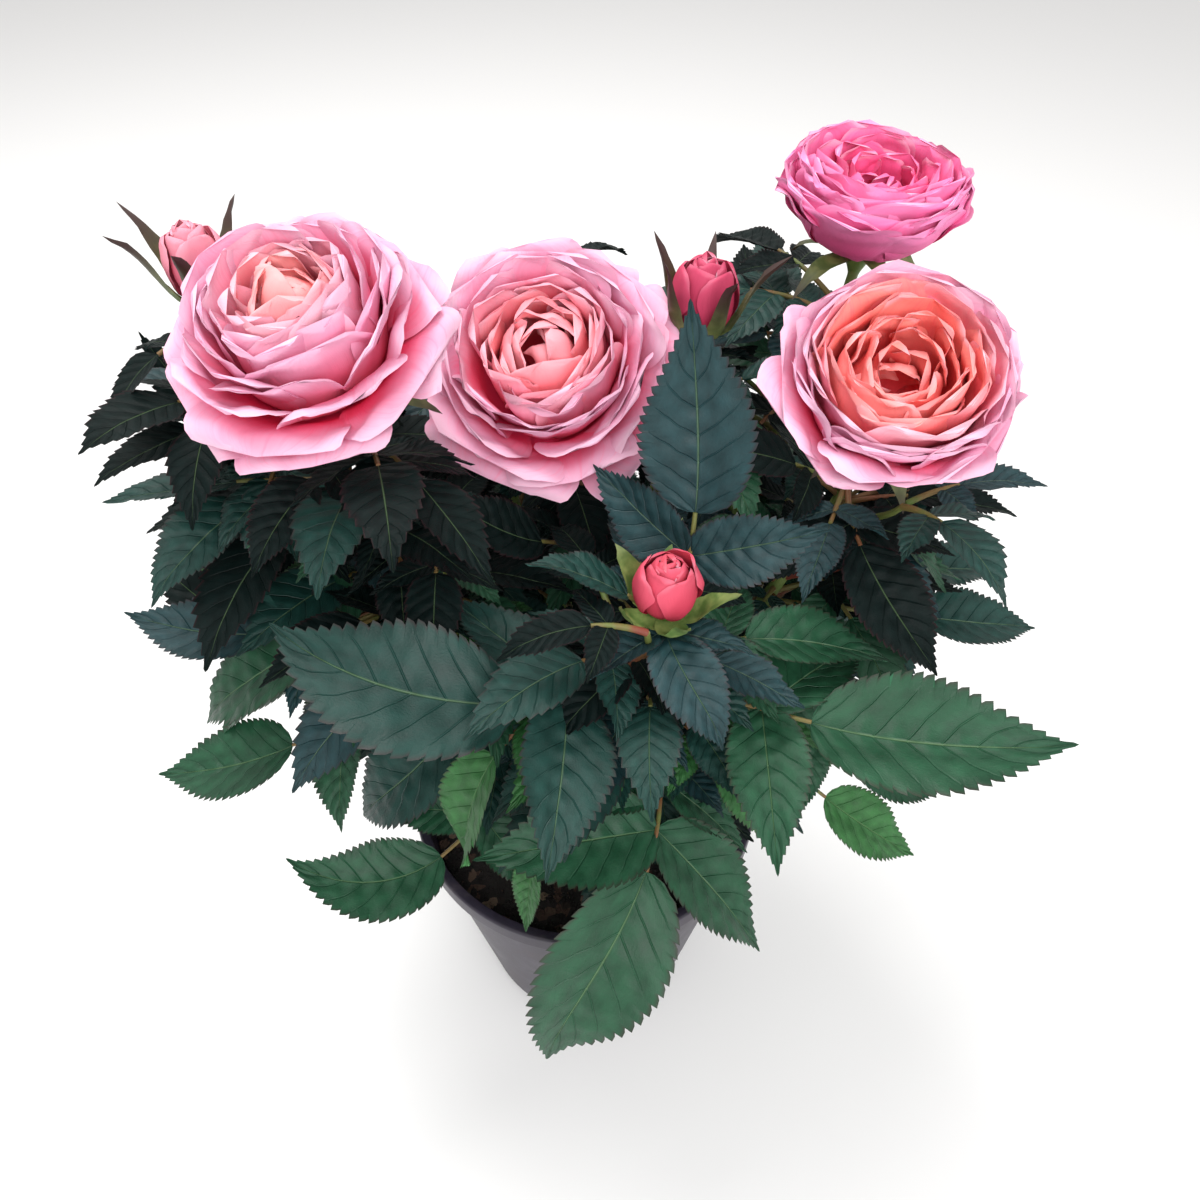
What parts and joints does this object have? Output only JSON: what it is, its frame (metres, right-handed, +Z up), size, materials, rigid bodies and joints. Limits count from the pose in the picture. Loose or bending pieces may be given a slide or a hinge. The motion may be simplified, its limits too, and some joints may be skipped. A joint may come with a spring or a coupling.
{
  "type": "potted rose bush",
  "caption": "Small rose bush in a round tapering pot, with bare canes, masses of compound leaves, open many-petalled blooms and closed buds.",
  "frame": {"origin": "middle of the pot's flat underside", "axes": "+Z up the pot's axis, front of the plant towards -Y, its right hand side as seen from the front towards +X"},
  "size_m": [0.2428, 0.1877, 0.2665],
  "materials": {
    "pot": "satin",
    "soil": "matte",
    "cane": "matte",
    "foliage": "satin",
    "bloom": "matte",
    "bud": "matte"
  },
  "bodies": {
    "root": {"pot": "pot", "soil": "soil", "cane_front": "cane", "cane_left": "cane", "cane_middle": "cane", "cane_right": "cane", "cane_back": "cane", "cane_left_bud": "cane", "cane_middle_bud": "cane", "cane_rear": "cane", "foliage_front": "foliage", "foliage_left": "foliage", "foliage_middle": "foliage", "foliage_right": "foliage", "foliage_back": "foliage", "foliage_left_bud": "foliage", "foliage_middle_bud": "foliage", "foliage_rear": "foliage", "bloom_left": "bloom", "bloom_middle": "bloom", "bloom_right": "bloom", "bloom_back": "bloom", "bud_front": "bud", "bud_left_bud": "bud", "bud_middle_bud": "bud"}
  },
  "joints": []
}
